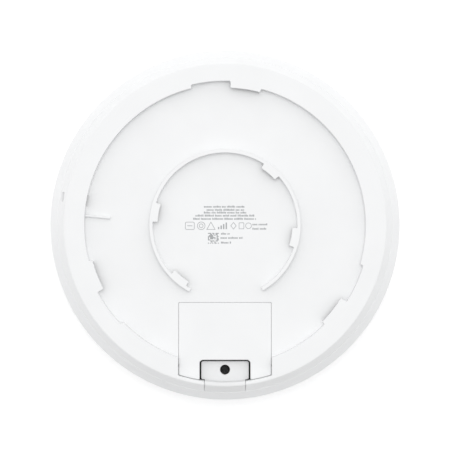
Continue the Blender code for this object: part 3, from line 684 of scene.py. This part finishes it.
def make_casing():
    casing = casing_body()
    cut(casing, pad("recess", recess_outline(), void_levels(RECESS_Z, 0.0, 0.0005, foot=0.0007)))
    hollows = []
    for start, end, _ in STATIONS:
        hollow = sector(TAB_RADIUS - 0.0016, UNDERCUT_RADIUS, start + 0.5, end + 2.0)
        hollows.append(pad("undercut", hollow, flat_levels(RECESS_Z - TRIM, -TAB_THICKNESS)))
    cut(casing, *hollows)

    # Tub of the port compartment
    tub_half = POCKET_HALF + POCKET_WALL
    tub_y = POCKET_TOP_Y + POCKET_WALL
    tub = strip_to_arc(tub_half, tub_y, RIM_OUTER_WALL + POCKET_WALL)
    rise = strip_to_arc(tub_half, -0.0885, RIM_OUTER_WALL + POCKET_WALL)
    pocket = round_corners(strip_to_arc(POCKET_HALF, POCKET_TOP_Y, RIM_OUTER_WALL), 0.0006)
    pocket = offset(pocket, TRIM)
    join(
        casing,
        pad("tub", tub, flat_levels(POCKET_FLOOR_Z - POCKET_WALL, RECESS_Z - 0.0011)),
        pad("tub_rise", rise, flat_levels(RECESS_Z - 0.0016, -0.0010)),
    )
    cut(casing, pad("pocket", pocket, void_levels(POCKET_FLOOR_Z, 0.0, 0.0009)))

    # Openings of the compartment, and the slot that releases the bracket
    lip_gap = PLUG_LIP_HALF + 0.0005
    lip_way = ((-lip_gap, -0.107, LIP_BOTTOM_Z - 0.0004), (lip_gap, -0.0969, 0.001))
    wall_low, wall_high = POCKET_WALL_Y
    jack_low = (JACK_LOW.x + 0.0004, wall_low, BOARD_TOP_Z + 0.0012)
    jack_high = (JACK_HIGH.x - 0.0004, wall_high, JACK_HIGH.z - 0.0004)
    hinge_low = (HINGE_X[0] - 0.0005, wall_low, -0.0103)
    hinge_high = (HINGE_X[1] + 0.0005, wall_high, FLOOR_UNDER_Z - 0.0002)
    windows = [lip_way, (jack_low, jack_high)] + both_sides(hinge_low, hinge_high)
    channel = ((0.0990, -RELEASE_WIDTH / 2, -0.0043), (0.1070, RELEASE_WIDTH / 2, -0.0020))
    window = ((0.0860, -WINDOW_WIDTH / 2, RECESS_Z + TRIM), (0.0925, WINDOW_WIDTH / 2, -0.0016))
    cut(casing, boxes("wall_windows", windows))
    cut(casing, boxes("release_way", [channel, window], turn=RELEASE_ANGLE))
    cut(casing, reset_rod("reset_way", 0.0015, wall_low, wall_high))

    # Features that stand on the floor, and the posts below it
    ledge_low = (0.0270, -0.0800, -0.0094)
    ledge_high = (POCKET_HALF + 0.0005, -0.0540, COVER_UNDER_Z - GAP)
    half_length, half_width = STOP_LENGTH / 2, STOP_WIDTH / 2
    stop_outline = [
        (-half_length, -half_width),
        (half_length, -half_width),
        (half_length, half_width),
        (-half_length, half_width),
    ]
    stop_levels = solid_levels(RECESS_Z - 0.0007, RECESS_Z + STOP_HEIGHT, 0.0005)
    stop = pad("bracket_stop", round_corners(stop_outline, 0.0006), stop_levels)
    stop.rotation_euler.z = math.radians(STOP_LEAN)
    stop.location = (*STOP_CENTRE, 0.0)
    post_low = BOARD_TOP_Z + GAP
    join(
        casing,
        boxes("ledges", both_sides(ledge_low, ledge_high)),
        bracket_ring(),
        stop,
        rods("posts", 0.0035, post_low, RECESS_Z - 0.001, post_places()),
    )
    bore_high = FLOOR_UNDER_Z - 0.0011
    cut(casing, rods("bores", 0.0018, post_low - 0.001, bore_high, post_places(), 20))
    wear(casing, MATERIALS["casing"])
    shade(casing)
    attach(casing, "root")
    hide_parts("rear_casing")


def reset_rod(name, radius, low_y, high_y):
    rod = rods(name, radius, low_y, high_y, [(0.0, 0.0)], 32)
    rod.data.transform(Matrix.Rotation(math.radians(-90.0), 4, "X"))
    centre = (RESET_LOW + RESET_HIGH) / 2
    rod.location = (centre.x, 0.0, centre.z)
    return rod


# ---------------------------------------------------------------- port cover and plug
def cover_outline():
    radius = RIM_OUTER_WALL - HAIRLINE / 2
    half = POCKET_HALF - HAIRLINE
    notch_half = PLUG_HALF + 0.0008
    notch_y = PLUG_TOP_Y + 0.0008
    lean = math.degrees(math.asin(half / radius))
    notch_lean = math.degrees(math.asin(notch_half / radius))
    right = [(half, POCKET_TOP_Y - HAIRLINE)]
    edge = arc(radius, lean - 90.0, notch_lean - 90.0)
    notch = fillet(edge[-1], (notch_half, notch_y), (0.0, notch_y), 0.0022, 8)
    right = right + edge + notch
    left = [(-x, y) for x, y in right[::-1]]
    return round_corners(right + left, 0.0008)


def make_cover():
    cover = pad("port_cover_plate", cover_outline(), solid_levels(COVER_UNDER_Z, RECESS_Z, 0.0006))
    leg_low = (HINGE_X[0], -0.0502, -0.0094)
    leg_high = (HINGE_X[1], -0.0490, COVER_UNDER_Z + 0.0005)
    tongue_low = (HINGE_X[0] + 0.0002, -0.0495, -0.0093)
    tongue_high = (HINGE_X[1] - 0.0002, -0.0472, -0.0082)
    catch_low = (0.0200, -0.0946, -0.0110)
    catch_high = (0.0240, -0.0934, COVER_UNDER_Z + 0.0005)
    barb_low = (0.0202, -0.0950, -0.0109)
    barb_high = (0.0238, -0.0940, -0.0100)
    ribs = [((-0.0004, -0.0835, -0.0088), (0.0004, -0.0515, COVER_UNDER_Z + 0.0005))]
    ribs += both_sides((0.0126, -0.0835, -0.0088), (0.0134, -0.0515, COVER_UNDER_Z + 0.0005))
    cross = [((-0.0170, -0.0684, -0.0087), (0.0170, -0.0676, COVER_UNDER_Z + 0.0004))]
    join(
        cover,
        boxes("legs", both_sides(leg_low, leg_high)),
        boxes("tongues", both_sides(tongue_low, tongue_high)),
        boxes("catches", both_sides(catch_low, catch_high)),
        boxes("barbs", both_sides(barb_low, barb_high)),
        boxes("ribs", ribs),
        boxes("cross_rib", cross),
    )
    wear(cover, MATERIALS["cover"])
    shade(cover)
    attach(cover, "port_cover")
    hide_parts("port_cover")


def make_plug():
    outer = RIM_OUTER_WALL - GAP
    outline = round_corners(strip_to_arc(PLUG_HALF, PLUG_TOP_Y, outer), 0.0014, steps=8)
    plug = pad("cable_plug_body", outline, solid_levels(PLUG_BOTTOM_Z, PLUG_TOP_Z, 0.0005, 5, 0.0003))
    profile = [(outer + 0.0001, -0.0003), (outer + 0.0002, -0.0001), (outer + 0.0004, 0.0)]
    profile += rim_edge()
    profile += [
        (SPIGOT_OUTER - GAP, BEVEL_Z),
        (SPIGOT_OUTER - GAP, LIP_BOTTOM_Z),
        (outer - 0.0018, LIP_BOTTOM_Z),
        (outer - 0.0018, PLUG_TOP_Z - 0.0010),
    ]
    for a in edge_angles(6):
        foot = PLUG_TOP_Z - 0.00002 + 0.0014 * (1 - math.cos(a))
        profile.append((outer - 0.0013 + 0.0014 * math.sin(a), foot))
    lip = turned("plug_lip", profile, closed=True)
    lip_half = PLUG_LIP_HALF + 0.00028
    span = boxes("plug_lip_span", [((-lip_half, -0.107, -0.020), (lip_half, -0.085, 0.002))])
    boolean(lip, "INTERSECT", span)
    soften(lip, 0.0003, 2, 50.0)
    join(plug, lip)
    hollow = ((-0.0107, -0.0950, -0.0170), (0.0107, -0.0840, PLUG_FLANGE_Z))
    hole_outline = [(x, y + PLUG_HOLE_Y) for x, y in arc(PLUG_HOLE_RADIUS, 0.0, 355.0, 5.0)]
    hole = pad("plug_hole", hole_outline, void_levels(-0.0170, PLUG_TOP_Z, 0.0004))
    cut(plug, boxes("plug_hollow", [hollow]), hole)
    wear(plug, MATERIALS["plug"])
    shade(plug)
    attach(plug, "cable_plug")
    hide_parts("cable_plug")


# ---------------------------------------------------------------- dome and light
def make_dome():
    edge = (BEVEL_RADIUS, BEVEL_Z - HAIRLINE)
    outer = shoulder(edge, (DISC_RADIUS, SHOULDER_Z), 16)
    outer += dome_skin(DOME_MOUTH, DISC_RADIUS, 44)[1:]
    inner = dome_skin(DOME_MOUTH, DISC_RADIUS - WALL, 24, WALL)[::-1]
    seat = SPIGOT_OUTER + GAP
    inner += [(seat + 0.0022, -0.0102), (seat, -0.0085), (seat, BEVEL_Z - HAIRLINE)]
    dome = turned("dome_shell", outer + inner, closed=True)
    places = [(LED_POST_X, 0.0), (-LED_POST_X, 0.0)]
    post_high = LED_UNDER_Z - GAP
    join(dome, rods("light_posts", 0.0030, -0.0452, post_high, places))
    cut(dome, rods("light_post_bores", 0.0015, -0.0440, post_high + 0.001, places, 20))
    wear(dome, MATERIALS["dome"])
    shade(dome)
    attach(dome, "root")
    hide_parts("dome_cover")


def make_light_ring():
    flange_z = -0.0432
    face = dome_skin(LIGHT_INNER, LIGHT_OUTER, 8)
    profile = [(0.0355, flange_z), (0.0355, -0.0442), (LIGHT_OUTER, -0.0442)]
    profile += face
    profile += [(LIGHT_INNER, flange_z), (0.0292, flange_z), (0.0292, -0.0410)]
    profile += [(0.0315, -0.0410), (0.0315, flange_z)]
    ring = turned("light_ring_diffuser", profile, closed=True, steps=144)
    soften(ring, 0.0002, 2, 50.0)
    wear(ring, MATERIALS["diffuser"])
    shade(ring)
    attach(ring, "root")
    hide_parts("light_ring")


def make_centre_cap():
    profile = [(0.0254, -0.0456), (0.0254, -0.0420), (0.0288, -0.0420)]
    profile += [(0.0288, -0.0429), (CAP_RADIUS, -0.0429)]
    profile += dome_skin(0.0, CAP_RADIUS, 16)[:-1]
    cap = turned("centre_cap_disc", profile, closed=False, steps=144)
    soften(cap, 0.0002, 2, 50.0)
    wear(cap, MATERIALS["dome"])
    shade(cap)
    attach(cap, "root")
    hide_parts("centre_cap")


# ---------------------------------------------------------------- socket
def make_jack():
    middle = (JACK_LOW.x + JACK_HIGH.x) / 2
    jack = boxes("ethernet_jack_shell", [(JACK_LOW, JACK_HIGH)])
    front = JACK_LOW.y
    mouth = ((middle - 0.0059, front - 0.001, -0.0196), (middle + 0.0059, -0.0335, -0.0112))
    latch = ((middle - 0.0031, front - 0.001, -0.0200), (middle + 0.0031, -0.0360, -0.0095))
    cut(jack, boxes("jack_mouth", [mouth]))
    cut(jack, boxes("jack_latch_way", [latch]))
    soften(jack, 0.00035)
    wear(jack, MATERIALS["steel"])
    shade(jack)
    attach(jack, "root")
    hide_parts("ethernet_jack")

    # A black liner just inside the mouth
    solid = ((middle - 0.0058, front + 0.0004, -0.0195), (middle + 0.0058, -0.0336, -0.0113))
    liner = boxes("jack_liner", [solid])
    inside = ((middle - 0.0054, front - 0.001, -0.0191), (middle + 0.0054, -0.0342, -0.0117))
    latch_way = ((middle - 0.0030, front - 0.001, -0.0125), (middle + 0.0030, -0.0365, -0.0105))
    cut(liner, boxes("liner_inside", [inside]))
    cut(liner, boxes("liner_latch", [latch_way]))
    wear(liner, MATERIALS["black"])
    shade(liner)
    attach(liner, "root")


# ---------------------------------------------------------------- printed marks
INK_LOW = RECESS_Z + 0.00001
INK_HIGH = RECESS_Z + 0.00004


def add_bar(bm, x0, x1, y0, y1):
    add_box(bm, (x0, y0, INK_LOW), (x1, y1, INK_HIGH))


def add_line_shape(bm, outline, width):
    """A closed line of ink along an outline."""
    inner, outer = offset(outline, -width / 2), offset(outline, width / 2)
    count = len(outline)
    loops = []
    for points, z in ((inner, INK_LOW), (outer, INK_LOW), (outer, INK_HIGH), (inner, INK_HIGH)):
        loops.append([bm.verts.new((x, y, z)) for x, y in points])
    loops.append(loops[0])
    for first, second in zip(loops, loops[1:]):
        for i in range(count):
            j = (i + 1) % count
            bm.faces.new((first[i], first[j], second[j], second[i]))


def ring_at(x, y, radius, sides=20):
    return [(x + px, y + py) for px, py in arc(radius, 0.0, 360.0 * (sides - 1) / sides, 360.0 / sides)]


def make_print():
    """Unreadable rows of blocks, plain symbols and a random grid in faint grey ink."""
    pick = random.Random(7)
    bm = bmesh.new()

    letter_height = 0.0012

    def row(y, start, end):
        """One row of blocks; its place and ends are in millimetres."""
        y, x, end = y / 1000, start / 1000, end / 1000
        word = pick.randint(4, 9)
        while x < end - 0.0004:
            width = pick.uniform(0.00042, 0.00075)
            tall = letter_height * pick.choice((0.75, 0.75, 1.0))
            foot = y - letter_height / 2
            add_bar(bm, x, min(x + width, end), foot, foot + tall)
            x += width + 0.00022
            word -= 1
            if word == 0:
                x += 0.0006
                word = pick.randint(3, 9)

    rows = (
        (11.5, -13.2, 13.2),
        (9.5, -11.5, 11.9),
        (7.8, -13.2, 13.8),
        (5.9, -18.5, 18.5),
        (3.9, -19.9, 19.4),
    )
    beside = (
        (-5.4, -2.5, 3.3),
        (-8.0, -2.8, 10.9),
        (-11.0, -2.5, 4.1),
        (0.4, 17.2, 26.4),
        (-2.3, 17.2, 26.0),
    )
    for y, start, end in rows + beside:
        row(y, start, end)

    thin = 0.00032
    level = -0.0005
    square = [(-0.0248, -0.0028), (-0.0192, -0.0028), (-0.0192, 0.0018), (-0.0248, 0.0018)]
    add_line_shape(bm, round_corners(square, 0.0008), thin)
    add_bar(bm, -0.0236, -0.0204, level - 0.0002, level + 0.0002)
    add_line_shape(bm, ring_at(-0.0149, level, 0.0024), thin)
    add_line_shape(bm, ring_at(-0.0149, level, 0.0012), thin)
    add_line_shape(bm, [(-0.0114, -0.0028), (-0.0062, -0.0028), (-0.0088, 0.0018)], thin)
    for i in range(4):
        add_bar(bm, -0.0044 + 0.0016 * i, -0.0036 + 0.0016 * i, -0.0026, -0.0012 + 0.0009 * i)
    add_line_shape(bm, [(0.0036, level), (0.0053, -0.0026), (0.0070, level), (0.0053, 0.0016)], thin)
    upright = [(0.0088, -0.0024), (0.0118, -0.0024), (0.0118, 0.0014), (0.0088, 0.0014)]
    add_line_shape(bm, round_corners(upright, 0.0003), thin)
    add_line_shape(bm, ring_at(0.0147, level, 0.0018), thin)

    cells, side = 10, 0.0068
    filled = 0.62
    pitch = side / cells
    for i in range(cells):
        for j in range(cells):
            if pick.random() < filled:
                x, y = -0.0107 + pitch * i, -0.0117 + pitch * j
                add_bar(bm, x + TRIM, x + pitch - TRIM, y + TRIM, y + pitch - TRIM)
    marks = from_bmesh("printed_marks", bm)
    wear(marks, MATERIALS["ink"])
    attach(marks, "root")


# ---------------------------------------------------------------- carried-over parts
def dress_frame():
    """Materials for the parts whose CAD shape is already right."""
    looks = {
        "jack_contacts": "brass",
        "reset_button": "black",
        "reset_switch": "steel",
        "main_board": "board",
        "led_board": "board",
        "heat_sink": "cast",
        "antenna_plate": "cast",
        "ethernet_transformer": "black",
        "led_ribbon": "jacket",
        "thermal_pad": "rubber",
        "shield_can": "steel",
        "antenna_wide": "brass",
        "antenna_short": "brass",
        "coax": "jacket",
        "capacitor": "cast",
        "standoff": "brass",
        "plate_screw": "steel",
        "heat_sink_screw": "steel",
        "led_screw": "steel",
    }
    for name, obj in NODES.items():
        fits = [prefix for prefix in looks if name.startswith(prefix)]
        if fits:
            wear(obj, MATERIALS[looks[max(fits, key=len)]])


# ---------------------------------------------------------------- studio
FLOOR_GLOW = 0.17
SKY_STRENGTH = 1.0
SKY_DIM = (0.25, 0.25, 0.25)
KEY_PLACE = (0.0, 0.30, 1.97)
KEY_SIZE = 1.2
KEY_POWER = 10.4
CAMERA_HEIGHT = 1.3
CAMERA_LENS = 166.9


def make_floor():
    floor_z = APEX_Z - 0.0003
    bm = bmesh.new()
    add_box(bm, (-6.0, -6.0, floor_z - 0.02), (6.0, 6.0, floor_z))
    floor = from_bmesh("floor", bm)
    made, tree, shader = new_material("pale_floor")
    slow = noise(tree, 3.0, 2.0)
    colours = ramp(tree, slow, (0.93, 0.93, 0.93), (0.95, 0.95, 0.95))
    tree.links.new(colours, shader.inputs["Base Color"])
    shader.inputs["Roughness"].default_value = 0.7
    shader.inputs["Emission Color"].default_value = (1.0, 1.0, 1.0, 1.0)
    shader.inputs["Emission Strength"].default_value = FLOOR_GLOW
    wear(floor, made)


def make_sky():
    """Even white light that dims towards the horizon on the -Y side."""
    world = bpy.data.worlds.new("studio")
    bpy.context.scene.world = world
    world.use_nodes = True
    tree = world.node_tree
    sky = tree.nodes["Background"]
    place = tree.nodes.new("ShaderNodeTexCoord")
    split = tree.nodes.new("ShaderNodeSeparateXYZ")
    tree.links.new(place.outputs["Generated"], split.inputs["Vector"])
    share = tree.nodes.new("ShaderNodeMath")
    share.operation = "MULTIPLY_ADD"
    tree.links.new(split.outputs["Y"], share.inputs[0])
    share.inputs[1].default_value = 0.5
    share.inputs[2].default_value = 0.5
    colours = ramp(tree, share.outputs["Value"], SKY_DIM, (1.0, 1.0, 1.0), 0.08, 0.38)
    tree.links.new(colours, sky.inputs["Color"])
    sky.inputs["Strength"].default_value = SKY_STRENGTH


def make_key_light():
    light = bpy.data.lights.new("key", "AREA")
    light.shape = "DISK"
    light.size = KEY_SIZE
    light.energy = KEY_POWER
    key = bpy.data.objects.new("key", light)
    key.location = KEY_PLACE
    key.rotation_euler = (-Vector(KEY_PLACE)).to_track_quat("-Z", "Y").to_euler()
    bpy.context.scene.collection.objects.link(key)


def make_camera():
    """Square on to the back of the object."""
    data = bpy.data.cameras.new("camera")
    data.lens = CAMERA_LENS
    data.sensor_width = 36.0
    camera = bpy.data.objects.new("camera", data)
    camera.location = (0.0, 0.0, CAMERA_HEIGHT)
    bpy.context.scene.collection.objects.link(camera)
    bpy.context.scene.camera = camera


bpy.context.scene.view_settings.view_transform = "Standard"
make_casing()
make_cover()
make_plug()
make_dome()
make_light_ring()
make_centre_cap()
make_jack()
make_print()
dress_frame()
make_floor()
make_sky()
make_key_light()
make_camera()
